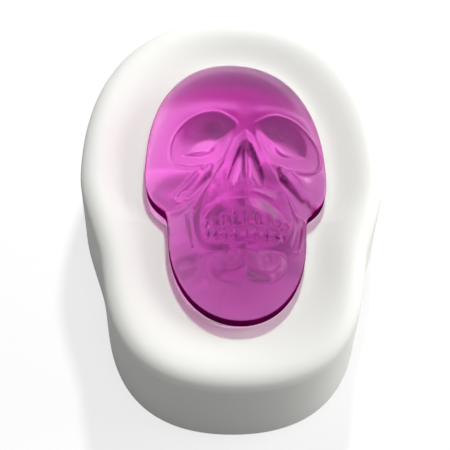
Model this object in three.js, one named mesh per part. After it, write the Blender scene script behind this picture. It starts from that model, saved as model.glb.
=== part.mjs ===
// A skull casting mould: a hollow ceramic mould with a skull-shaped cavity, and the glass skull cast in it.
// The casting lies face up over the mouth of the cavity and lifts straight off.
// Millimetres, +Z up, +Y towards the crown of the skull, origin under the middle of the mould's foot.
import * as THREE from 'three';

// Skull, as seen from above its face
const skullLength = 103.4; // crown to chin
const skullWidth = 64.8; // across the temples
const templeOffset = 4; // widest place, above the middle of the length
const cheekHalfWidth = 25.6; // at the corner under the cheek bone
const cheekDrop = 11.2; // the cheek corner, below the middle of the length
const jawHalfWidth = 24.2; // just under the cheek corner
const jawDrop = 22; // where the jaw starts to round in, below the middle
const edgeHeight = 5; // upright band round the flat back
const faceSlope = 0.045; // the carving leans: one temple lies this share lower than the other

// Heights of the face above the flat back
const browHeight = 19.9;
const cheekHeight = 11.6;
const jawHeight = 10.2;
const muzzleHeight = 17.3;
const nasalHeight = 19.4;
const chinHeight = 14.6;
const orbitHeight = 15.2; // lip of an eye socket
const socketDepth = 5.6;
const noseDepth = 6.4;
const browRidge = 0.4;
const socketRidge = 0.6;
const cheekRidge = 2;
const cheekHollow = 2.4;
const ramusRidge = 0.8;
const gumStep = 0.9;
const toothHeight = 1.2;

// Mould: how far its outside lies beyond the skull
const crownFlange = 23.7;
const templeFlange = 22.7;
const cheekFlange = 21.3;
const jawFlange = 18.3;
const chinFlange = 24;
const notchDrop = 25.5; // the waist of the outside, below the middle
const jawTurnDrop = 49; // where the outside starts to round in to the chin
const wallDraft = 1; // the foot stands this far outside the top
const shellWall = 6.5; // slip-cast wall
const crestInset = 5.5; // highest line of the rim, in from the outside
const rimDrop = 4.6; // the rim's rounding starts this far below its crest
const dishDepth = 4.2; // rim crest down to the flat round the mouth
const dishFlat = 4; // flat round the mouth, where the casting rests
const mouthLip = 0.8; // the mouth is this much smaller than the casting all round
const groundClearance = 15.3; // underside of the cavity's bulge above the table

// How the casting lies on the mould
const seatGap = 0.3;
const castingShift = 1;
const castingYaw = THREE.MathUtils.degToRad(0.3);

// Fineness of the surfaces
const stationCount = 96;
const reliefRings = 26;
const cavityRings = 20;

const halfWidth = skullWidth / 2;
const crownY = skullLength / 2;
const skullDepth = browHeight + browRidge;
const mouthHeight = groundClearance + shellWall + skullDepth;
const mouldHeight = mouthHeight + dishDepth;

// Rays of all outlines start here, just above the teeth
const centreY = -skullLength * 0.1;

// The face is drawn on a grid: 31 parts from the centre line to a temple, 100 parts from chin to crown
const acrossParts = 31;
const lengthParts = 100;
const faceShift = 3.1; // the face is carved this many parts beside the middle of the outline
const faceLean = 0.022; // and leans over by this share on its way up
const gridX = (x) => (x / halfWidth) * acrossParts;
const gridY = (y) => (y / skullLength) * lengthParts;

const ramp = (from, to, value) => THREE.MathUtils.smoothstep((value - from) / (to - from), 0, 1);
const bump = (distance, width) => Math.exp(-((distance / width) ** 2));

// One half of an outline, from the crown down to the chin, as four Bezier curves
function skullHalf() {
  const path = new THREE.Path();
  path.moveTo(0, crownY);
  path.bezierCurveTo(
    halfWidth * 0.64, crownY, halfWidth, templeOffset + crownY * 0.58, halfWidth, templeOffset);
  path.bezierCurveTo(
    halfWidth, -cheekDrop * 0.45, cheekHalfWidth * 1.16, -cheekDrop * 0.7, cheekHalfWidth, -cheekDrop);
  path.bezierCurveTo(
    cheekHalfWidth * 0.95, -cheekDrop * 1.1, jawHalfWidth * 1.01, -jawDrop * 0.72, jawHalfWidth, -jawDrop);
  path.bezierCurveTo(
    jawHalfWidth * 0.97, -jawDrop - crownY * 0.32, jawHalfWidth * 0.58, -crownY, 0, -crownY);
  return path.getPoints(40);
}

function mouldHalf(draft) {
  const top = crownY + crownFlange + draft;
  const side = halfWidth + templeFlange + draft;
  const waist = cheekHalfWidth + cheekFlange + draft;
  const jaw = jawHalfWidth + jawFlange + draft;
  const bottom = -crownY - chinFlange - draft;
  const sideY = templeOffset * 2;
  const path = new THREE.Path();
  path.moveTo(0, top);
  path.bezierCurveTo(side * 0.63, top, side, sideY + (top - sideY) * 0.64, side, sideY);
  path.bezierCurveTo(side, -notchDrop * 0.12, waist * 1.04, -notchDrop * 0.65, waist, -notchDrop);
  path.bezierCurveTo(waist * 0.97, -notchDrop * 1.32, jaw * 1.06, -jawTurnDrop * 0.84, jaw, -jawTurnDrop);
  path.bezierCurveTo(jaw * 0.87, -jawTurnDrop * 1.35, jaw * 0.56, bottom, 0, bottom);
  return path.getPoints(40);
}

// Distance from the ray centre to a half outline, by the angle from straight up
function radiusByAngle(half) {
  const table = half.map((p) => [Math.atan2(p.x, p.y - centreY), Math.hypot(p.x, p.y - centreY)]);
  return (angle) => {
    const a = Math.abs(angle);
    let i = 1;
    while (i < table.length - 1 && table[i][0] < a) i += 1;
    const [a0, r0] = table[i - 1];
    const [a1, r1] = table[i];
    const t = THREE.MathUtils.clamp((a - a0) / (a1 - a0), 0, 1);
    return r0 + (r1 - r0) * t;
  };
}

const skullRadius = radiusByAngle(skullHalf());
const topRadius = radiusByAngle(mouldHalf(0));
const footRadius = radiusByAngle(mouldHalf(wallDraft));

// Outlines drawn on the face, in parts of the face grid, for the side right of the centre line
function smoothLine(points, isClosed) {
  const corners = points.map(([x, y]) => new THREE.Vector3(x, y, 0));
  return new THREE.CatmullRomCurve3(corners, isClosed, 'catmullrom').getPoints(points.length * 4);
}

const closed = (points) => smoothLine(points, true).slice(0, -1);

function mirrored(points) {
  const half = smoothLine(points, false);
  const rest = half.slice(1, -1).reverse().map((p) => new THREE.Vector3(-p.x, p.y, 0));
  return half.concat(rest);
}

const socketOutline = closed([
  [3.4, 16.6], [6, 19.4], [10.4, 21.4], [15.8, 20.8], [21, 17.8], [24.4, 13.2], [25, 7.6], [22, 4.6],
  [15, 4], [9.6, 5.6], [5.6, 10.6]]);
const noseOutline = mirrored([
  [0, 11.9], [2.1, 10], [3.7, 6.8], [5.2, 2.5], [6.3, -2.1], [5.3, -4.9], [2.6, -4.7], [0.7, -3.5], [0, -3.3]]);
const muzzleOutline = mirrored([
  [0, 20.3], [2.3, 18.3], [4.4, 13], [6.8, 7.2], [10, 1.1], [12.8, -4], [15, -9.8], [16.9, -15.7],
  [16.6, -20.6], [14.7, -25.5], [10.3, -27.8], [0, -28.8]]);
const mouthOutline = mirrored([
  [0, -8], [7, -8.9], [11.8, -11.7], [14.7, -16], [14.8, -20.8], [12.6, -25.1], [7, -26.7], [0, -27]]);
const chinOutline = mirrored([
  [0, -26], [8.9, -26.4], [12.4, -29.2], [12, -33.2], [8.5, -36.4], [3.8, -36.8], [0, -36]]);

// Distance from a point to a stretch of line, and how far along it the nearest place is
function toLine(x, y, [x0, y0], [x1, y1]) {
  const dx = x1 - x0;
  const dy = y1 - y0;
  const along = THREE.MathUtils.clamp(((x - x0) * dx + (y - y0) * dy) / (dx * dx + dy * dy), 0, 1);
  return { distance: Math.hypot(x - x0 - along * dx, y - y0 - along * dy), along };
}

// How deep a point lies inside a closed outline, negative outside it
function insideBy(x, y, outline) {
  let distance = Infinity;
  let odd = false;
  outline.forEach((a, i) => {
    const b = outline[(i + 1) % outline.length];
    distance = Math.min(distance, toLine(x, y, [a.x, a.y], [b.x, b.y]).distance);
    const crosses = (a.y > y) !== (b.y > y) && x < ((b.x - a.x) * (y - a.y)) / (b.y - a.y) + a.x;
    if (crosses) odd = !odd;
  });
  return odd ? distance : -distance;
}

// Teeth of one row: the tops of the crowns follow a bend, each tooth is a rounded pillow
const toothRows = [
  { root: -13.6, bend: -0.03, bite: -20.1, edges: [0, 4.1, 7.7, 10.8, 13.2] },
  { root: -25.7, bend: 0.018, bite: -21.1, edges: [0, 3.4, 6.8, 9.9, 12.5] },
];

function teeth(side, up) {
  let height = 0;
  for (const { root, bend, bite, edges } of toothRows) {
    for (let i = 1; i < edges.length; i += 1) {
      const middle = (edges[i] + edges[i - 1]) / 2;
      const top = root + bend * middle * middle;
      const across = Math.abs(side - middle) / ((edges[i] - edges[i - 1]) / 2);
      const along = Math.abs(up - (top + bite) / 2) / (Math.abs(top - bite) / 2);
      if (across < 1 && along < 1) height = toothHeight * ((1 - across ** 3) * (1 - along ** 3)) ** 0.7;
    }
  }
  return height;
}

// Height of the face above the flat back at a point of the skull
function faceHeight(x, y) {
  const angle = Math.atan2(x, y - centreY);
  const reach = Math.min(Math.hypot(x, y - centreY) / skullRadius(angle), 1);
  const up = gridY(y);
  const across = gridX(x) - faceShift - faceLean * up;
  const side = Math.abs(across);

  // Dome over the whole outline, high at the forehead and lower round the jaw
  const jawShare = ramp(-20, -47, up);
  let core = THREE.MathUtils.lerp(cheekHeight, browHeight, ramp(0, 23.6, up));
  core = THREE.MathUtils.lerp(core, jawHeight, jawShare) * (1 - 0.17 * (x / halfWidth) ** 2);
  const domePower = THREE.MathUtils.lerp(4.6, 3.2, ramp(0, 30, up)); // rounder towards the crown
  let height = edgeHeight + (core - edgeHeight) * (1 - reach ** domePower) ** 0.72;

  // Brow
  const browLine = 24 - 0.022 * (side - 11) ** 2;
  height += browRidge * bump(up - browLine, 2.3) * ramp(24, 19.8, side) * ramp(0.9, 4.7, side);

  // Muzzle, falling away from its centre line
  const muzzle = insideBy(across, up, muzzleOutline);
  const muzzleTop = muzzleHeight - 0.27 * side - 1.2 * ramp(-19, -28, up);
  const muzzleEdge = THREE.MathUtils.lerp(0.8, 2.8, ramp(-8, -20, up)); // crisp beside the nose, soft below
  height += Math.max(muzzleTop - height, 0) * ramp(-muzzleEdge, muzzleEdge, muzzle) * ramp(20, 14, up);

  // Nasal bones, a ridge down to the tip of the nose
  const nasal = THREE.MathUtils.lerp(muzzleHeight, nasalHeight, ramp(18, 10, up)) - 0.82 * side;
  height += Math.max(nasal - height, 0) * ramp(7, 10, up) * ramp(23, 19, up);

  // Cheek bone: two ridges that run out from under the socket, and the hollow beside the muzzle
  const inner = toLine(side, up, [11.8, 3.4], [19.2, -6]);
  const outer = toLine(side, up, [15.4, 2.1], [22.5, -7.4]);
  const hollow = toLine(side, up, [11.6, -0.2], [18.4, -9.2]);
  height += cheekRidge * (1 - 0.35 * inner.along) * bump(inner.distance, 1.1);
  height += cheekRidge * (0.9 - 0.15 * outer.along) * bump(outer.distance, 1.4);
  height -= cheekHollow * (1 - 0.2 * hollow.along) * bump(hollow.distance, 1.4 + 1.8 * hollow.along)
    * ramp(0.6, -1.1, muzzle);

  // Edge of the jaw bone beside the teeth
  height += ramusRidge * bump(toLine(side, up, [19.1, -13.7], [17.1, -25.5]).distance, 0.8);

  // Eye sockets, bowls under a raised lip
  const socket = insideBy(side, up, socketOutline);
  const fill = 1 - (1 - THREE.MathUtils.clamp(socket / 8.6, 0, 1)) ** 1.7;
  const tilt = 0.17 * (13.2 - up) * ramp(0, 4.7, socket);
  const bowl = orbitHeight - 0.8 * ramp(7.5, 22.6, side) - socketDepth * fill + tilt;
  height += Math.min(bowl - height, 0) * (1 - (1 - THREE.MathUtils.clamp(socket / 6, 0, 1)) ** 1.25);
  height += socketRidge * bump(socket + 0.6, 0.5) * ramp(1.9, 4.7, side);

  // Nose opening, divided by the septum
  const nose = Math.max(insideBy(across, up, noseOutline), 0);
  height -= noseDepth * (1 - Math.exp(-nose / 1.4)) * (1 - 0.62 * bump(side, 1.05));

  // Gums, sunk under an arch over the upper teeth, and teeth
  height -= gumStep * ramp(-1.2, 1.6, insideBy(across, up, mouthOutline)) * ramp(-27, -18, up);
  height += teeth(side, up);

  // Chin
  const chinTop = chinHeight - 0.24 * side - 0.06 * (up + 31);
  height += Math.max(chinTop - height, 0) * ramp(-2, 2, insideBy(across, up, chinOutline));
  return Math.max(height, edgeHeight);
}

const angles = Array.from({ length: stationCount }, (_, i) => (i / stationCount) * 2 * Math.PI);
const signedAngle = (a) => (a > Math.PI ? a - 2 * Math.PI : a);

// A ring of points from a radius rule and a height rule, anticlockwise seen from above
function ring(radiusAt, heightAt, slope = 0) {
  return angles.map((a) => {
    const angle = -signedAngle(a);
    const r = radiusAt(angle);
    const x = r * Math.sin(angle);
    const y = centreY + r * Math.cos(angle);
    return new THREE.Vector3(x, y - slope * x, heightAt(x, y));
  });
}

// The ring moved in by a distance square to its own outline
function inset(points, distance, height) {
  return points.map((p, i) => {
    const before = points.at(i - 1);
    const after = points[(i + 1) % points.length];
    const along = new THREE.Vector2(after.x - before.x, after.y - before.y).normalize();
    return new THREE.Vector3(p.x - along.y * distance, p.y + along.x * distance, height);
  });
}

function between(ringA, ringB, share, height) {
  return ringA.map((p, i) => {
    const q = p.clone().lerp(ringB[i], share);
    q.z = height;
    return q;
  });
}

// A closed body from a pole, rings and another pole. A quad is cut along the diagonal that stays more level,
// so that a steep edge of the face runs straight.
function ringBody(firstPole, rings, lastPole) {
  const position = [firstPole, ...rings.flat(), lastPole].flatMap((p) => [p.x, p.y, p.z]);
  const index = [];
  const at = (k, i) => 1 + k * stationCount + (i % stationCount);
  const last = 1 + rings.length * stationCount;
  for (let i = 0; i < stationCount; i += 1) {
    index.push(0, at(0, i + 1), at(0, i));
    for (let k = 0; k < rings.length - 1; k += 1) {
      const corners = [at(k, i), at(k, i + 1), at(k + 1, i + 1), at(k + 1, i)];
      const [a, b, c, d] = corners;
      const rises = corners.map((v) => position[3 * v + 2]);
      const cutAC = Math.abs(rises[0] - rises[2]) < Math.abs(rises[1] - rises[3]) - 0.01;
      index.push(...(cutAC ? [a, b, c, a, c, d] : [a, b, d, b, c, d]));
    }
    index.push(last, at(rings.length - 1, i), at(rings.length - 1, i + 1));
  }
  const geometry = new THREE.BufferGeometry();
  geometry.setAttribute('position', new THREE.Float32BufferAttribute(position, 3));
  geometry.setIndex(index);
  geometry.computeVertexNormals();
  return geometry;
}

// The skull's outline, larger or smaller by a distance along the rays
const grown = (distance) => (angle) => skullRadius(angle) + distance;

// Shares of the way out from the ray centre, closer together near the outline where the face is steep
function shares(count, outermost) {
  return Array.from({ length: count }, (_, k) => outermost * ((k + 1) / count) ** 0.9);
}

function castingGeometry() {
  const wallTop = 0.985;
  const edgeSoftening = 0.8;
  const back = ring(skullRadius, () => 0, faceSlope);
  const wall = ring(skullRadius, () => edgeHeight - edgeSoftening, faceSlope);
  const relief = shares(reliefRings, wallTop).reverse().map(
    (t) => ring((a) => skullRadius(a) * t, faceHeight, faceSlope));
  const first = new THREE.Vector3(0, centreY, 0);
  const last = new THREE.Vector3(0, centreY, faceHeight(0, centreY));
  return ringBody(first, [back, wall, ...relief], last);
}

function mouldGeometry() {
  const foot = ring(footRadius, () => 0);
  const top = ring(topRadius, () => 0);
  const mouth = ring(grown(-mouthLip), () => mouthHeight, -faceSlope);
  const flat = ring(grown(dishFlat), () => mouthHeight);
  const crest = inset(top, crestInset, mouldHeight);

  // Outside wall and rounded rim
  const outside = [between(foot, top, 0, 0), between(foot, top, 1, mouldHeight - rimDrop)];
  for (const turn of [25, 50, 72]) {
    const angle = THREE.MathUtils.degToRad(turn);
    const drop = rimDrop * (1 - Math.sin(angle));
    outside.push(inset(top, crestInset * (1 - Math.cos(angle)), mouldHeight - drop));
  }
  outside.push(crest);

  // Dish from the crest down to the flat round the mouth
  const dish = [0.25, 0.5, 0.75].map((t) => {
    const height = mouthHeight + dishDepth * (1 - ramp(0, 1, t));
    return between(crest, flat, t, height);
  });
  dish.push(flat, mouth);

  // Cavity, the face turned over about its long axis, so it is mirrored and its slope runs the other way
  const mouthScale = 0.955;
  const cavity = shares(cavityRings, mouthScale).reverse().map(
    (t) => ring((a) => skullRadius(a) * t, (x, y) => mouthHeight - faceHeight(-x, y), -faceSlope));
  const cavityPole = new THREE.Vector3(0, centreY, mouthHeight - faceHeight(0, centreY));

  // Underside: inner wall, ceiling and the bulge under the cavity
  const ceiling = mouthHeight - shellWall;
  const bulge = (share) => {
    const fall = edgeHeight + (skullDepth - edgeHeight) * (1 - share ** 4.2) ** 0.8;
    return ceiling - fall;
  };
  const bulgeRings = [0.3, 0.55, 0.72, 0.84, 0.93, 1].map(
    (t) => ring((a) => grown(shellWall * 0.8)(a) * t, () => bulge(t)));
  const bulgeTop = ring(grown(shellWall), () => ceiling);
  const innerFoot = inset(foot, shellWall, 0);
  const innerTop = inset(top, shellWall, mouldHeight - shellWall - rimDrop * 0.5);
  const innerCrest = inset(top, crestInset + 1, mouldHeight - shellWall);
  const underDish = between(innerCrest, bulgeTop, 0.5, ceiling + dishDepth * 0.5);
  const underside = [...bulgeRings, bulgeTop, underDish, innerCrest, innerTop, innerFoot];
  const bulgePole = new THREE.Vector3(0, centreY, bulge(0));

  return ringBody(bulgePole, [...underside, ...outside, ...dish, ...cavity], cavityPole);
}

// The mould's outside is centred on the origin, so the skull sits a little towards the crown
const skullMiddle = (chinFlange - crownFlange) / 2;

const castCeramic = new THREE.MeshStandardMaterial({ color: 0xefefeb, roughness: 0.85, metalness: 0 });
const castGlass = new THREE.MeshStandardMaterial({ color: 0xc04fae, roughness: 0.08, metalness: 0 });

const mould = new THREE.Mesh(mouldGeometry(), castCeramic);
mould.name = 'mould_body';
mould.position.y = skullMiddle;

const casting = new THREE.Mesh(castingGeometry(), castGlass);
casting.name = 'glass_casting';
casting.position.set(castingShift, skullMiddle, mouthHeight + seatGap);
casting.rotation.z = castingYaw;

const assembly = new THREE.Group();
assembly.add(mould, casting);

export default assembly;
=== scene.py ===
# A hollow ceramic casting mould, and the clear magenta glass skull that was cast in it.
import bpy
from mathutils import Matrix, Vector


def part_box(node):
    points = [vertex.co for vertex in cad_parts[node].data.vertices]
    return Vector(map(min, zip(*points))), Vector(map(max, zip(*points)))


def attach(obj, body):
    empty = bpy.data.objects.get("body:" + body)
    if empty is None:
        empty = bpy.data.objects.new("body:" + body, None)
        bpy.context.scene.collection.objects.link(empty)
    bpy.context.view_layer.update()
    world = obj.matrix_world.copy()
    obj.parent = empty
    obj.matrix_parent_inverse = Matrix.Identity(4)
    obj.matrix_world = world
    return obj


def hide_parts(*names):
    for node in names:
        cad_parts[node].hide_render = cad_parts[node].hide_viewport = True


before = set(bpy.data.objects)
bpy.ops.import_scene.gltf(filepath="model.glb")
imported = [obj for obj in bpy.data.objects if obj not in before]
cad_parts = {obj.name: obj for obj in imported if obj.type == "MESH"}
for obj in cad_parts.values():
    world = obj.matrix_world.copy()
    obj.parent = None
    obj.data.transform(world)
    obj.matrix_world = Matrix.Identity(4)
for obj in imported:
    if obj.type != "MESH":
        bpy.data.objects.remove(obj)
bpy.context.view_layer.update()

import math

import bpy
import numpy as np
from mathutils import Matrix, Vector

mm = 0.001  # shapes are drawn in millimetres, objects are in metres
sharpOver = 50  # degrees, edges that turn by more than this are drawn sharp
rayCrowding = 0.9  # under 1, the faces of a net get finer towards its rim


def boxOf(node):
    low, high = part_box(node)
    return np.array(low) / mm, np.array(high) / mm


glassLow, glassHigh = boxOf("glass_casting")
mouldLow, mouldHigh = boxOf("mould_body")
skullLength = glassHigh[1] - glassLow[1]
skullWidth = glassHigh[0] - glassLow[0]
skullMiddle = (glassHigh + glassLow)[:2] / 2  # both pieces are drawn about the middle of the skull
crownY = skullLength / 2
halfWidth = skullWidth / 2
rayCentreY = -0.1 * skullLength  # the rays of all outlines start just above the teeth


# Shape helpers

def ramp(start, end, value):
    share = np.clip((value - start) / (end - start), 0, 1)
    return share * share * (3 - 2 * share)


def bump(distance, width):
    return np.exp(-(distance / width) ** 2)


def mix(a, b, share):
    return a + (b - a) * share


def curveRun(start, curves, steps=80):  # cubic curves, each given as two handles and an end
    points = np.array([start], float)
    t = np.linspace(0, 1, steps + 1)[1:, None]
    for handleA, handleB, end in curves:
        first = points[-1]
        run = (1 - t) ** 3 * first + 3 * (1 - t) ** 2 * t * np.array(handleA)
        run = run + 3 * (1 - t) * t ** 2 * np.array(handleB) + t ** 3 * np.array(end)
        points = np.vstack([points, run])
    return points


def radiusRule(half):  # distance from the ray centre to a half outline, by the angle from straight up
    angle = np.arctan2(half[:, 0], half[:, 1] - rayCentreY)
    radius = np.hypot(half[:, 0], half[:, 1] - rayCentreY)
    return lambda turn: np.interp(np.abs(turn), angle, radius)


def spline(points, closed, steps=8):  # smooth line through all points
    p = np.array(points, float)
    if closed:
        p = np.vstack([p[-1:], p, p[:2]])
    else:
        p = np.vstack([2 * p[0] - p[1], p, 2 * p[-1] - p[-2]])
    t = np.linspace(0, 1, steps, endpoint=False)[:, None]
    runs = []
    for a, b, c, d in zip(p, p[1:], p[2:], p[3:]):
        run = b + (c - a) * t / 2 + (a - 2.5 * b + 2 * c - d / 2) * t ** 2
        runs.append(run + ((d - a) / 2 + 1.5 * (b - c)) * t ** 3)
    if not closed:
        runs.append(p[-2:-1])
    return np.vstack(runs)


def mirrored(points):  # an outline given for one side, from top to bottom
    half = spline(points, False)
    other = half[-2:0:-1] * [-1, 1]
    return np.vstack([half, other])


def toLine(x, y, start, end):  # distance to a stretch of line, and how far along it the nearest place is
    dx, dy = end[0] - start[0], end[1] - start[1]
    along = np.clip(((x - start[0]) * dx + (y - start[1]) * dy) / (dx * dx + dy * dy), 0, 1)
    return np.hypot(x - start[0] - along * dx, y - start[1] - along * dy), along


def insideBy(x, y, outline):  # how deep a point lies inside a closed outline, negative outside
    distance = np.full(x.shape, np.inf)
    odd = np.zeros(x.shape, bool)
    for a, b in zip(outline, np.roll(outline, -1, axis=0)):
        distance = np.minimum(distance, toLine(x, y, a, b)[0])
        if a[1] != b[1]:
            odd ^= ((a[1] > y) != (b[1] > y)) & (x < (b[0] - a[0]) * (y - a[1]) / (b[1] - a[1]) + a[0])
    return np.where(odd, distance, -distance)


# The skull: its outline, and the height of its face over the flat back

skull = {
    "templeUp": 4.0, "cheekHalf": 25.6, "cheekDrop": 11.2, "jawHalf": 24.2, "jawDrop": 22.0,
    "slope": 0.045,  # one temple lies this share lower than the other
    "yaw": 0.3,  # degrees, as it lies on the mould
    "faceShift": 3.1, "faceLean": 0.022,  # the face is carved beside the outline's middle line, leaning
    "edge": 5.0,  # upright band round the flat back
    "brow": 19.9, "cheek": 11.6, "jaw": 10.2, "muzzle": 17.3, "nasal": 19.4, "chin": 14.6, "orbit": 15.2,
    "domeFull": (4.6, 3.2),  # how square-shouldered the dome is, at the jaw and at the forehead
    "domeRound": 0.72, "domeSag": 0.17,  # its rounding at the edge, and its fall towards the temples
    "socketReach": 8.6, "socketBowl": 1.7,  # how far in the bowl is deepest, and how round it is
    "socketDepth": 5.6, "noseDepth": 6.4, "browRidge": 0.4, "socketRidge": 0.8, "cheekRidge": 2.0,
    "cheekHollow": 2.4, "ramusRidge": 0.8, "gumStep": 0.9, "tooth": 1.2, "toothNotch": 2.0,
    "biteRidge": 0.8, "seamStep": 0.8,  # seam down the middle, its right side standing higher
    "partsAcross": 31,  # the face is drawn in parts: 31 from the centre line to a temple,
    "partsLong": 100,  # and 100 from chin to crown
}

s = skull
skullHalf = curveRun((0, crownY), [
    ((halfWidth * 0.64, crownY), (halfWidth, s["templeUp"] + crownY * 0.58), (halfWidth, s["templeUp"])),
    ((halfWidth, -s["cheekDrop"] * 0.45), (s["cheekHalf"] * 1.16, -s["cheekDrop"] * 0.7),
     (s["cheekHalf"], -s["cheekDrop"])),
    ((s["cheekHalf"] * 0.95, -s["cheekDrop"] * 1.1), (s["jawHalf"] * 1.01, -s["jawDrop"] * 0.72),
     (s["jawHalf"], -s["jawDrop"])),
    ((s["jawHalf"] * 0.97, -s["jawDrop"] - crownY * 0.32), (s["jawHalf"] * 0.58, -crownY), (0, -crownY)),
])
skullRadius = radiusRule(skullHalf)

socketLine = spline([
    (3.4, 16.6), (6, 19.4), (10.4, 21.4), (15.8, 20.8), (21, 17.8), (24.4, 13.2), (25, 7.6), (22, 4.6),
    (15, 4), (9.6, 5.6), (5.6, 10.6)], True)
noseLine = mirrored([
    (0, 11.9), (2.1, 10), (3.7, 6.8), (5.2, 2.5), (6.3, -2.1), (5.3, -4.9), (2.6, -4.7),
    (0.7, -3.5), (0, -3.3)])
muzzleLine = mirrored([
    (0, 20.3), (2.3, 18.3), (4.4, 13), (6.8, 7.2), (10, 1.1), (12.8, -4), (15, -9.8), (16.9, -15.7),
    (16.6, -20.6), (14.7, -25.5), (10.3, -27.8), (0, -28.8)])
mouthLine = mirrored([
    (0, -8), (7, -8.9), (11.8, -11.7), (14.7, -16), (14.8, -20.8), (12.6, -25.1), (7, -26.7), (0, -27)])
chinLine = mirrored([
    (0, -26), (8.9, -26.4), (12.4, -29.2), (12, -33.2), (8.5, -36.4), (3.8, -36.8), (0, -36)])

toothRows = [  # where the crowns end, how that line bends, the bite line, and the gaps between teeth
    {"root": -13.6, "bend": -0.03, "bite": -20.1, "edges": [0, 4.1, 7.7, 10.8, 13.2]},
    {"root": -25.7, "bend": 0.018, "bite": -21.1, "edges": [0, 3.4, 6.8, 9.9, 12.5]},
]


def teethOver(side, up):
    height = np.zeros(side.shape)
    for row in toothRows:
        for inner, outer in zip(row["edges"], row["edges"][1:]):
            middle = (inner + outer) / 2
            top = row["root"] + row["bend"] * middle ** 2
            across = np.clip(np.abs(side - middle) / ((outer - inner) / 2), 0, 1)
            along = np.clip(np.abs(up - (top + row["bite"]) / 2) / (abs(top - row["bite"]) / 2), 0, 1)
            height += s["tooth"] * ((1 - across ** 3) * (1 - along ** 3)) ** 0.7
            notchAt = mix(top, row["bite"], 0.3)  # pointed hollow between two crowns
            notch = np.abs(side - outer) / 1.3 + np.abs(up - notchAt) / 1.9
            height -= s["toothNotch"] * np.clip(1 - notch, 0, 1) ** 0.8
    return height


def faceHeight(x, y):
    turn = np.arctan2(x, y - rayCentreY)
    reach = np.clip(np.hypot(x, y - rayCentreY) / skullRadius(turn), 0, 1)
    up = y / skullLength * s["partsLong"]
    across = x / halfWidth * s["partsAcross"] - s["faceShift"] - s["faceLean"] * up
    side = np.abs(across)

    # dome over the whole outline, high at the forehead and lower round the jaw
    core = mix(s["cheek"], s["brow"], ramp(0, 23.6, up))
    core = mix(core, s["jaw"], ramp(-20, -47, up)) * (1 - s["domeSag"] * (x / halfWidth) ** 2)
    full = mix(*s["domeFull"], ramp(0, 30, up))
    height = s["edge"] + (core - s["edge"]) * (1 - reach ** full) ** s["domeRound"]

    # brow
    browLine = 24 - 0.022 * (side - 11) ** 2
    height += s["browRidge"] * bump(up - browLine, 2.3) * ramp(24, 19.8, side) * ramp(0.9, 4.7, side)

    # muzzle, falling away from its centre line, and the nasal bones
    muzzle = insideBy(across, up, muzzleLine)
    muzzleTop = s["muzzle"] - 0.27 * side - 1.2 * ramp(-19, -28, up)
    muzzleEdge = mix(0.8, 2.8, ramp(-8, -20, up))  # crisp beside the nose, soft round the mouth
    height += np.maximum(muzzleTop - height, 0) * ramp(-muzzleEdge, muzzleEdge, muzzle) * ramp(20, 14, up)
    nasal = mix(s["muzzle"], s["nasal"], ramp(18, 10, up)) - 0.82 * side
    height += np.maximum(nasal - height, 0) * ramp(7, 10, up) * ramp(23, 19, up)

    # cheek bone: two struts run out from under the socket, with a hollow beside the muzzle
    inner, innerAlong = toLine(side, up, (11.8, 3.4), (19.2, -6))
    outer, outerAlong = toLine(side, up, (15.4, 2.1), (22.5, -7.4))
    hollow, hollowAlong = toLine(side, up, (11.6, -0.2), (18.4, -9.2))
    height += s["cheekRidge"] * (1 - 0.35 * innerAlong) * bump(inner, 1.1)
    height += s["cheekRidge"] * (0.9 - 0.15 * outerAlong) * bump(outer, 1.4)
    height -= (s["cheekHollow"] * (1 - 0.2 * hollowAlong) * bump(hollow, 1.4 + 1.8 * hollowAlong)
               * ramp(0.6, -1.1, muzzle))
    height += s["ramusRidge"] * bump(toLine(side, up, (19.1, -13.7), (17.1, -25.5))[0], 0.8)

    # eye sockets, bowls under a raised lip
    socket = insideBy(side, up, socketLine)
    fill = 1 - (1 - np.clip(socket / s["socketReach"], 0, 1)) ** s["socketBowl"]
    tilt = 0.17 * (13.2 - up) * ramp(0, 4.7, socket)
    bowl = s["orbit"] - 0.8 * ramp(7.5, 22.6, side) - s["socketDepth"] * fill + tilt
    height += np.minimum(bowl - height, 0) * (1 - (1 - np.clip(socket / 6, 0, 1)) ** 1.25)
    height += s["socketRidge"] * bump(socket + 0.6, 0.5) * ramp(1.9, 4.7, side)

    # nose opening, divided by the septum
    nose = np.maximum(insideBy(across, up, noseLine), 0)
    height -= s["noseDepth"] * (1 - np.exp(-nose / 1.4)) * (1 - 0.62 * bump(side, 1.05))

    # gums, teeth and chin
    height -= s["gumStep"] * ramp(-1.2, 1.6, insideBy(across, up, mouthLine)) * ramp(-27, -18, up)
    height += teethOver(side, up)
    height += s["biteRidge"] * bump(up + 20.6, 0.5) * ramp(12.5, 9, side)
    chinTop = s["chin"] - 0.24 * side - 0.06 * (up + 31)
    chinEdge = mix(3.2, 1.6, ramp(-1, 1, across))  # soft on the left, crisp on the right
    height += np.maximum(chinTop - height, 0) * ramp(-chinEdge, chinEdge, insideBy(across, up, chinLine))
    seamRun = ramp(-4, -6, up) * ramp(-38, -35, up)  # from under the nose to the chin
    height += s["seamStep"] * ramp(-0.2, 0.2, across) * ramp(12, 0, across) * seamRun
    return np.maximum(height, s["edge"])


# Bodies: a relief on a square net bent into a disc, then rings round it, and a pole that closes it

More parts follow.
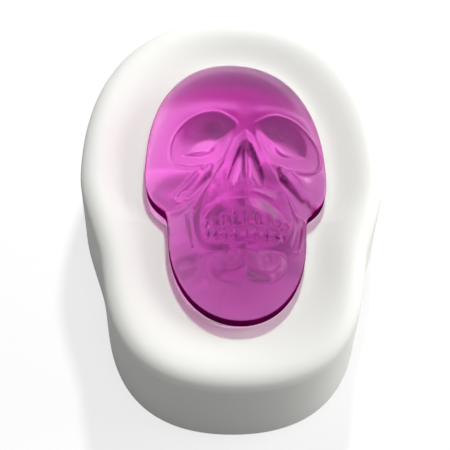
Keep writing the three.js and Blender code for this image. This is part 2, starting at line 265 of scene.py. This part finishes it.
def discNet(cells):
    steps = np.linspace(-1, 1, cells + 1)
    a, b = np.meshgrid(steps, steps)
    wide = np.abs(a) >= np.abs(b)
    ratio = np.where(wide, b, a) / np.where(wide, np.where(a == 0, 1, a), np.where(b == 0, 1, b))
    turn = np.where(wide, ratio * math.pi / 4, math.pi / 2 - ratio * math.pi / 4)
    turn = turn + math.pi * np.where(wide, a < 0, b < 0)
    angle = (math.pi / 2 - turn + math.pi) % (2 * math.pi) - math.pi  # from straight up, clockwise
    share = np.maximum(np.abs(a), np.abs(b))
    index = np.arange((cells + 1) ** 2).reshape(cells + 1, cells + 1)
    quads = np.stack([index[:-1, :-1], index[:-1, 1:], index[1:, 1:], index[1:, :-1]], -1).reshape(-1, 4)
    rim = np.concatenate([index[0, :-1], index[:-1, -1], index[-1, :0:-1], index[:0:-1, 0]])
    return share.ravel(), angle.ravel(), quads, rim


def atRays(radius, angle, height):
    x = radius * np.sin(angle)
    y = rayCentreY + radius * np.cos(angle)
    return np.stack([x, y, np.broadcast_to(height, x.shape)], -1)


def inset(ring, distance, height):  # the ring moved in square to its own outline
    along = np.roll(ring, -1, axis=0) - np.roll(ring, 1, axis=0)
    along = along[:, :2] / np.hypot(along[:, 0], along[:, 1])[:, None]
    moved = ring[:, :2] + np.stack([-along[:, 1], along[:, 0]], -1) * distance
    return np.column_stack([moved, np.full(len(ring), float(height))])


def between(ringA, ringB, share, height):
    ring = mix(ringA, ringB, share)
    ring[:, 2] = height
    return ring


def quarterRound(start, end, steps):  # shares of a quarter circle's two sides, for a rounded edge
    turn = np.linspace(start, end, steps) * math.pi / 2
    return list(zip(1 - np.cos(turn), 1 - np.sin(turn)))


def closedBody(name, net, relief, rings, pole, sharpOver):
    quads, rim = net
    count = len(rim)
    points = np.vstack([relief, *rings, [pole]])
    loops = [rim] + [len(relief) + k * count + np.arange(count) for k in range(len(rings))]
    faces = [quads]
    for a, b in zip(loops, loops[1:]):
        faces.append(np.stack([a, b, np.roll(b, -1), np.roll(a, -1)], -1))
    last = loops[-1]
    tip = np.full(count, len(points) - 1)
    closing = np.stack([last, tip, np.roll(last, -1)], -1)
    mesh = bpy.data.meshes.new(name)
    mesh.from_pydata((points * mm).tolist(), [], np.vstack(faces).tolist() + closing.tolist())
    mesh.shade_smooth()
    mesh.set_sharp_from_angle(angle=math.radians(sharpOver))
    piece = bpy.data.objects.new(name, mesh)
    bpy.context.collection.objects.link(piece)
    return piece


# Glass casting

casting = {
    "cells": 240,  # net of the face, about 0.4 mm a cell
    "lowerRound": 0.3,  # rounding of the edge round the back
    "backRings": 14,
}


def makeCasting():
    share, angle, quads, rim = discNet(casting["cells"])
    share = share ** rayCrowding
    radius = skullRadius(angle)
    face = atRays(radius * share, angle, 0)
    face[:, 2] = faceHeight(face[:, 0], face[:, 1])
    outline = face[rim].copy()
    soft = casting["lowerRound"]
    rings = [inset(outline, 0, z) for z in np.linspace(s["edge"], soft, 8)[1:]]
    rings += [inset(outline, soft * a, soft * b) for a, b in quarterRound(0, 1, 9)[1:]]
    middle = np.array([0, rayCentreY, 0])
    back = rings[-1]
    rings += [between(back, middle, t, 0) for t in np.linspace(0, 1, casting["backRings"])[1:-1]]
    body = [face, *rings, [middle]]
    lean = math.radians(s["yaw"])
    turn = np.array([[math.cos(lean), math.sin(lean), 0], [-math.sin(lean), math.cos(lean), 0], [0, 0, 1]])
    placed = []
    for points in body:
        points = np.array(points, float)
        points[:, 1] -= s["slope"] * points[:, 0]
        placed.append(points @ turn + [skullMiddle[0], skullMiddle[1], glassLow[2]])
    return closedBody("glass_skull", (quads, rim), placed[0], placed[1:-1], placed[-1][0], sharpOver)


glassSkull = makeCasting()
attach(glassSkull, "casting")
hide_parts("glass_casting")
print("glass casting:", len(glassSkull.data.polygons), "faces")


# Ceramic mould

mould = {
    "cells": 160,
    "mouthLip": 0.8,  # the mouth is this much smaller than the casting all round
    "mouthRound": 0.8,
    "cavityScale": 0.958,
    "dishFlat": 4.0,  # flat round the mouth
    "draft": 1.0,  # the foot stands this far outside the top
    "waistFlange": 21.3, "jawFlange": 18.3,  # outside of the mould, beyond the skull
    "waistDrop": 25.5, "jawTurnDrop": 49.0,
    "crestInset": 5.5, "crestRound": 4.6,  # the rim's rounding, inwards and downwards
    "shell": 6.5,
    "bulgeFull": 4.2, "bulgeRound": 0.8,  # how square-shouldered the cavity's bulge is underneath
    "footBevel": 0.8,
    "seatGap": 0.3,
}


def mouldHalf(draft):
    m = mould
    side = (mouldHigh[0] - mouldLow[0]) / 2 - m["draft"] + draft
    top = mouldHigh[1] - skullMiddle[1] - m["draft"] + draft
    bottom = mouldLow[1] - skullMiddle[1] + m["draft"] - draft
    waist = s["cheekHalf"] + m["waistFlange"] + draft
    jaw = s["jawHalf"] + m["jawFlange"] + draft
    sideY = 2 * s["templeUp"]
    drop, turnDrop = m["waistDrop"], m["jawTurnDrop"]
    return curveRun((0, top), [
        ((side * 0.63, top), (side, sideY + (top - sideY) * 0.64), (side, sideY)),
        ((side, -drop * 0.12), (waist * 1.04, -drop * 0.65), (waist, -drop)),
        ((waist * 0.97, -drop * 1.32), (jaw * 1.06, -turnDrop * 0.84), (jaw, -turnDrop)),
        ((jaw * 0.87, -turnDrop * 1.35), (jaw * 0.56, bottom), (0, bottom)),
    ])


def makeMould():
    m = mould
    mouthZ = glassLow[2] - m["seatGap"]
    topZ = mouldHigh[2]
    share, angle, quads, rim = discNet(m["cells"])
    share = share ** rayCrowding
    full = atRays(skullRadius(angle) * share, angle, 0)
    depth = faceHeight(-full[:, 0], full[:, 1])  # the face turned over, so it is mirrored
    cavity = atRays(skullRadius(angle) * share * m["cavityScale"], angle, mouthZ - depth)
    station = angle[rim]

    def skullRing(distance, height):
        return atRays(skullRadius(station) + distance, station, height)

    foot = atRays(radiusRule(mouldHalf(m["draft"]))(station), station, 0)
    top = atRays(radiusRule(mouldHalf(0))(station), station, 0)

    # wall of the cavity, its rounded mouth and the flat round it
    wallFoot, soft = cavity[rim], m["mouthRound"]
    mouth = skullRing(-m["mouthLip"] - soft, mouthZ - soft)
    inside = [between(wallFoot, mouth, t, mix(mouthZ - s["edge"], mouthZ - soft, t))
              for t in (0.35, 0.7, 1)]
    inside += [skullRing(-m["mouthLip"] - soft * (1 - math.sin(t)), mouthZ - soft * (1 - math.cos(t)))
               for t in np.linspace(0, math.pi / 2, 6)[1:]]
    leaning = [cavity, *inside]
    for ring in leaning:
        ring[:, 1] += s["slope"] * ring[:, 0]  # and leans the other way

    # dish, from the flat up to the crest
    flat = skullRing(m["dishFlat"], mouthZ)
    crest = inset(top, m["crestInset"], topZ)
    dish = [between(inside[-1], flat, t, mouthZ) for t in (0.3, 0.65, 1)]
    dish += [between(flat, crest, t, mix(mouthZ, topZ, ramp(0, 1, t))) for t in np.linspace(0, 1, 22)[1:]]

    # rounded rim, wall, foot
    drop = m["crestRound"]
    rimRings = [inset(top, m["crestInset"] * a, topZ - drop * b) for a, b in quarterRound(1, 0, 14)[1:]]
    wallTop, bevel = topZ - drop, m["footBevel"]
    wall = [between(top, foot, t, mix(wallTop, bevel, t)) for t in np.linspace(0, 1, 12)[1:]]
    under = [inset(foot, bevel * a, bevel * b) for a, b in quarterRound(0, 1, 5)[1:]]

    # hollow underneath: inner wall, ceiling and the bulge of the cavity
    shell = m["shell"]
    ceiling = mouthZ - shell
    dishDepth = topZ - mouthZ
    innerFoot = inset(foot, shell, 0)
    innerTop = inset(top, shell, topZ - shell - drop / 2)
    innerCrest = inset(top, m["crestInset"] + 1, topZ - shell)
    bulgeTop = skullRing(shell, ceiling)
    hollow = [innerFoot]
    hollow += [between(innerFoot, innerTop, t, mix(0, innerTop[0, 2], t))
               for t in np.linspace(0, 1, 10)[1:]]
    hollow.append(innerCrest)
    hollow.append(between(innerCrest, bulgeTop, 0.5, ceiling + dishDepth / 2))
    hollow.append(bulgeTop)
    deepest = s["brow"] + s["browRidge"]
    for t in np.linspace(1, 0, 16)[:-1]:
        fall = s["edge"] + (deepest - s["edge"]) * (1 - t ** m["bulgeFull"]) ** m["bulgeRound"]
        hollow.append(atRays((skullRadius(station) + shell * 0.8) * t, station, ceiling - fall))
    pole = np.array([0, rayCentreY, ceiling - deepest])

    rings = inside + dish + rimRings + wall + under + hollow
    shift = np.array([0, skullMiddle[1], 0])
    placed = [ring + shift for ring in rings]
    return closedBody("ceramic_mould", (quads, rim), cavity + shift, placed, pole + shift, sharpOver)


ceramicMould = makeMould()
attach(ceramicMould, "mould")
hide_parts("mould_body")
print("ceramic mould:", len(ceramicMould.data.polygons), "faces")


# Materials

def linear(hexColour):  # sRGB hex to linear red, green, blue, alpha
    parts = [int(hexColour[i:i + 2], 16) / 255 for i in (1, 3, 5)]
    return [p / 12.92 if p <= 0.04045 else ((p + 0.055) / 1.055) ** 2.4 for p in parts] + [1.0]


def addNode(tree, kind, settings=None, links=None):
    node = tree.nodes.new(kind)
    for key, value in (settings or {}).items():
        if isinstance(key, int) or key in node.inputs:
            node.inputs[key].default_value = value
        else:
            setattr(node, key, value)
    for key, source in (links or {}).items():
        tree.links.new(source, node.inputs[key])
    return node


def newMaterial(name):
    material = bpy.data.materials.new(name)
    material.use_nodes = True
    material.node_tree.nodes.clear()
    return material, material.node_tree


glass = {
    "ior": 1.51,
    "faceRoughness": 0.17, "edgeRoughness": 0.02,
    "loss": (17.0, 80.0, 24.0),  # red, green, blue taken out per metre of glass
    "edgePass": 0.5,  # upright faces bend light away, so little comes straight through them
    "passSteep": (0.2, 0.7),  # from upright to flat enough to let light straight through
    "gather": (-2.0, 39.0), "gatherReach": 52.0,  # mm, painted light: near this point more light is let through, a painted pool of light under the forehead
    "chinPass": 0.99, "gatherGain": 0.9,
    "satinFrom": (0.3, 0.8),  # how far a face looks up before it is the satin one
    "bandShadeColour": (0.62, 0.02, 0.44), "bandShadowTint": (0.85, 0.05, 0.6),  # painted shade: the band is drawn in the first colour; painted shadow tint: light let through the band takes the second
    "bandSteep": (0.66, 0.36), "bandFade": (6.0, 4.0),  # mm over the band, where it fades and is full
}


# Kiln-cast soda-lime glass, clear magenta, darker the thicker it is: edge and back fire-polished,
# the face satin from lying against the mould
def castGlass():
    material, tree = newMaterial("kiln_cast_magenta_glass")
    density = max(glass["loss"]) * 1.05
    normal = addNode(tree, "ShaderNodeNewGeometry")
    facing = addNode(tree, "ShaderNodeSeparateXYZ", links={0: normal.outputs["Normal"]})
    steep = addNode(tree, "ShaderNodeMath", {"operation": "ABSOLUTE"}, {0: facing.outputs["Z"]})
    where = addNode(tree, "ShaderNodeTexCoord")
    place = addNode(tree, "ShaderNodeSeparateXYZ", links={0: where.outputs["Object"]})

    # the satin face, and the smooth edge and back
    satin = addNode(tree, "ShaderNodeMapRange", {
        "From Min": glass["satinFrom"][0], "From Max": glass["satinFrom"][1],
        "To Min": glass["edgeRoughness"], "To Max": glass["faceRoughness"]},
        {"Value": facing.outputs["Z"]})
    clear = addNode(tree, "ShaderNodeBsdfPrincipled", {
        "Base Color": (1, 1, 1, 1), "IOR": glass["ior"], "Transmission Weight": 1.0},
        {"Roughness": satin.outputs[0]})

    # the upright band round the back, painted darker: a dark refraction colour with no reflection stands
    # in for its shade
    bandTop = (glassLow[2] + s["edge"]) * mm
    below = addNode(tree, "ShaderNodeMapRange", {
        "From Min": bandTop + glass["bandFade"][0] * mm, "From Max": bandTop + glass["bandFade"][1] * mm,
        "To Min": 0.0, "To Max": 1.0}, {"Value": place.outputs["Z"]})
    band = addNode(tree, "ShaderNodeMapRange", {
        "From Min": glass["bandSteep"][0], "From Max": glass["bandSteep"][1], "To Min": 0.0},
        {"Value": steep.outputs[0], "To Max": below.outputs[0]})
    # painted shade: the band gets this darker colour and no reflection
    bandShade = addNode(tree, "ShaderNodeBsdfRefraction", {
        "Color": (*glass["bandShadeColour"], 1), "IOR": glass["ior"], "Roughness": glass["edgeRoughness"]})
    body = addNode(tree, "ShaderNodeMixShader", links={
        0: band.outputs[0], 1: clear.outputs[0], 2: bandShade.outputs[0]})

    # the light that passes to what lies under the glass
    # painted shadow tint: light let through the band is coloured pink, tinting the glass's cast shadow on
    # the mould
    tint = addNode(tree, "ShaderNodeMix", {
        "data_type": "RGBA", 6: (1, 1, 1, 1), 7: (*glass["bandShadowTint"], 1)}, {0: band.outputs[0]})
    upright = addNode(tree, "ShaderNodeMapRange", {
        "From Min": glass["passSteep"][0], "From Max": glass["passSteep"][1],
        "To Min": glass["edgePass"], "To Max": 1.0}, {"Value": steep.outputs[0]})
    # painted light: the light let through is scaled up by distance from a fixed point alone
    gatherAt = Vector((*glass["gather"], glassLow[2])) * mm
    away = addNode(tree, "ShaderNodeVectorMath", {"operation": "DISTANCE", 1: gatherAt},
                   {0: where.outputs["Object"]})
    near = addNode(tree, "ShaderNodeMapRange", {
        "From Min": glass["gatherReach"] * mm, "From Max": 0.0}, {"Value": away.outputs["Value"]})
    square = addNode(tree, "ShaderNodeMath", {"operation": "MULTIPLY"},
                     {0: near.outputs[0], 1: near.outputs[0]})
    gathered = addNode(tree, "ShaderNodeMath", {
        "operation": "MULTIPLY_ADD", 1: glass["gatherGain"], 2: glass["chinPass"]},
        {0: square.outputs[0]})
    level = addNode(tree, "ShaderNodeMath", {"operation": "MULTIPLY"},
                    {0: upright.outputs[0], 1: gathered.outputs[0]})
    through = addNode(tree, "ShaderNodeVectorMath", {"operation": "SCALE"},
                      {0: tint.outputs[2], "Scale": level.outputs[0]})
    passing = addNode(tree, "ShaderNodeBsdfTransparent", links={"Color": through.outputs[0]})
    path = addNode(tree, "ShaderNodeLightPath")
    surface = addNode(tree, "ShaderNodeMixShader", links={
        0: path.outputs["Is Shadow Ray"], 1: body.outputs[0], 2: passing.outputs[0]})

    colour = [1 - loss / density for loss in glass["loss"]] + [1.0]
    depth = addNode(tree, "ShaderNodeVolumeAbsorption", {"Color": colour, "Density": density})
    addNode(tree, "ShaderNodeOutputMaterial", links={
        "Surface": surface.outputs[0], "Volume": depth.outputs[0]})
    return material


ceramic = {
    "colour": "#F2F2EE",
    "roughness": 0.85,
    "grain": 0.5,  # mm, the kiln wash's grit, drawn coarser than it is so that it shows
    "gritStrength": 0.12, "gritHeight": 0.2,
}


# Slip-cast earthenware, biscuit fired and brushed with kiln wash: chalky, matt, very slightly uneven
def washedCeramic():
    material, tree = newMaterial("kiln_washed_ceramic")
    place = addNode(tree, "ShaderNodeTexCoord")
    grit = addNode(tree, "ShaderNodeTexNoise", {"Scale": 1 / (ceramic["grain"] * mm), "Detail": 3.0},
                   {"Vector": place.outputs["Object"]})
    relief = addNode(tree, "ShaderNodeBump", {
        "Strength": ceramic["gritStrength"], "Distance": ceramic["gritHeight"] * mm},
        {"Height": grit.outputs["Fac"]})
    body = addNode(tree, "ShaderNodeBsdfPrincipled", {
        "Base Color": linear(ceramic["colour"]), "Roughness": ceramic["roughness"]},
        {"Normal": relief.outputs["Normal"]})
    addNode(tree, "ShaderNodeOutputMaterial", links={"Surface": body.outputs[0]})
    return material


glassSkull.data.materials.append(castGlass())
ceramicMould.data.materials.append(washedCeramic())
print("materials: done")


# Floor, light and camera

studio = {
    "floorSize": 8000, "floorColour": "#A4A4A4", "floorGlow": 0.7,
    "zenith": 0.15, "horizon": 0.5, "zenithFrom": 0.6,
    "back": {"turn": 9, "rise": 52, "distance": 600, "size": 60, "power": 2.5, "glossy": False},
    "glint": {"turn": 60, "rise": 45, "distance": 900, "size": 150, "power": 0.4, "diffuse": False},
    "top": {"turn": 180, "rise": 80, "distance": 1000, "size": 500, "power": 1.5, "glossy": False},
    "side": {"turn": 80, "rise": 12, "distance": 1000, "size": 1000, "power": 9.0, "glossy": False},
}

floorMesh = bpy.data.meshes.new("floor")
half = studio["floorSize"] * mm / 2
floorCorners = [(-half, -half, 0), (half, -half, 0), (half, half, 0), (-half, half, 0)]
floorMesh.from_pydata(floorCorners, [], [(0, 1, 2, 3)])
floor = bpy.data.objects.new("floor", floorMesh)
bpy.context.collection.objects.link(floor)


def floorPaint():
    material, tree = newMaterial("pale_floor")
    path = addNode(tree, "ShaderNodeLightPath")
    straight = addNode(tree, "ShaderNodeMath", {"operation": "MAXIMUM"},
                       {0: path.outputs["Is Camera Ray"], 1: path.outputs["Is Glossy Ray"]})
    seen = addNode(tree, "ShaderNodeMath", {"operation": "MAXIMUM"},
                   {0: straight.outputs[0], 1: path.outputs["Is Transmission Ray"]})
    level = addNode(tree, "ShaderNodeMath", {"operation": "MULTIPLY", 1: studio["floorGlow"]},
                    {0: seen.outputs[0]})
    matt = addNode(tree, "ShaderNodeBsdfDiffuse", {"Color": linear(studio["floorColour"])})
    glow = addNode(tree, "ShaderNodeEmission", {"Color": (1, 1, 1, 1)}, {"Strength": level.outputs[0]})
    both = addNode(tree, "ShaderNodeAddShader", links={0: matt.outputs[0], 1: glow.outputs[0]})
    addNode(tree, "ShaderNodeOutputMaterial", links={"Surface": both.outputs[0]})
    return material


floorMesh.materials.append(floorPaint())


def makeWorld():
    world = bpy.data.worlds.new("studio")
    world.use_nodes = True
    tree = world.node_tree
    tree.nodes.clear()
    place = addNode(tree, "ShaderNodeTexCoord")
    way = addNode(tree, "ShaderNodeSeparateXYZ", links={0: place.outputs["Generated"]})
    level = addNode(tree, "ShaderNodeMapRange", {
        "From Min": 0.0, "From Max": studio["zenithFrom"],
        "To Min": studio["horizon"], "To Max": studio["zenith"]}, {"Value": way.outputs["Z"]})
    sky = addNode(tree, "ShaderNodeBackground", {"Color": (1, 1, 1, 1)}, {"Strength": level.outputs[0]})
    addNode(tree, "ShaderNodeOutputWorld", links={"Surface": sky.outputs[0]})
    bpy.context.scene.world = world


makeWorld()


def addLamp(name):
    lamp = studio[name]
    turn = math.radians(lamp["turn"])  # right of straight behind
    rise = math.radians(lamp["rise"])  # up from the floor
    way = Vector((math.sin(turn) * math.cos(rise), math.cos(turn) * math.cos(rise), math.sin(rise)))
    data = bpy.data.lights.new(name, "AREA")
    data.shape = "DISK"
    data.size = lamp["size"] * mm
    data.energy = lamp["power"]
    lampObject = bpy.data.objects.new(name, data)
    lampObject.location = Vector((0, 0, mouldHigh[2] * mm)) + way * lamp["distance"] * mm
    lampObject.rotation_euler = (-way).to_track_quat("-Z", "Y").to_euler()
    lampObject.visible_transmission = False  # its light comes through the glass by the shadow rays alone
    lampObject.visible_glossy = lamp.get("glossy", True)
    lampObject.visible_diffuse = lamp.get("diffuse", True)
    bpy.context.collection.objects.link(lampObject)


for name in ("back", "side", "top", "glint"):
    addLamp(name)

view = {
    "eye": (-11.66, -221.49, 455.45), "aim": (-2.52, -2.12, 22.0),
    "lens": 104.0, "roll": -1.99,
}


def makeCamera():
    eye, aim = Vector(view["eye"]) * mm, Vector(view["aim"]) * mm
    forward = (aim - eye).normalized()
    right = forward.cross(Vector((0, 0, 1))).normalized()
    up = right.cross(forward)
    roll = math.radians(view["roll"])
    up = up * math.cos(roll) + right * math.sin(roll)
    right = forward.cross(up)
    data = bpy.data.cameras.new("camera")
    data.lens = view["lens"]
    data.clip_start = 0.01
    camera = bpy.data.objects.new("camera", data)
    camera.matrix_world = Matrix.Translation(eye) @ Matrix((right, up, -forward)).transposed().to_4x4()
    bpy.context.collection.objects.link(camera)
    bpy.context.scene.camera = camera


makeCamera()
bpy.context.scene.view_settings.view_transform = "Standard"
print("studio: done")
